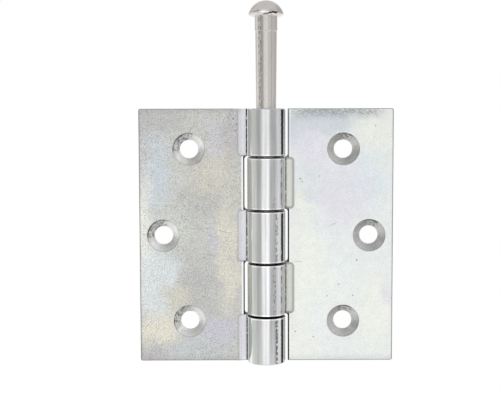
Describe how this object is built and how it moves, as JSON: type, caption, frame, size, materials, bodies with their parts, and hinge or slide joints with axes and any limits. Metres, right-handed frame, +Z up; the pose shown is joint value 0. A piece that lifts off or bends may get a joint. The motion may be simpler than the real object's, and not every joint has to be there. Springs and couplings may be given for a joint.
{
  "type": "butt hinge",
  "caption": "Square butt hinge of pressed and rolled steel sheet, zinc plated, with interlocking swaged knuckles, countersunk screw holes and a loose domed pin drawn part way out",
  "frame": {"origin": "At mid-height of the leaves, in line with the pin's axis as seen from the front, on the plane of the leaves' backs: the centre of the four outer screw holes of the open hinge", "axes": "+Z is up along the pin, with its head at the top. -Y is the front, where the barrel stands out and the screw holes are countersunk. +X runs along the right leaf, which carries two knuckles"},
  "size_m": [0.08, 0.0118, 0.1133],
  "materials": {
    "left_leaf_zinc": "satin bright zinc plating on pressed steel sheet",
    "right_leaf_zinc": "satin bright zinc plating on pressed steel sheet",
    "pin_steel": "smooth warm grey steel with fine lengthwise scratches"
  },
  "bodies": {
    "left_leaf": {"left_leaf": "left_leaf_zinc"},
    "right_leaf": {"right_leaf": "right_leaf_zinc"},
    "pin": {"loose_pin": "pin_steel"}
  },
  "joints": [
    {"name": "leaf_fold", "type": "hinge", "parent": "left_leaf", "child": "right_leaf", "pos_m": [0, -0.0039, 0], "axis": [0, 0, -1], "range_deg": [-109, 180]},
    {"name": "pin_slide", "type": "slide", "parent": "left_leaf", "child": "pin", "axis": [0, 0, 1], "range_m": [-0.0284, 0.05]}
  ]
}
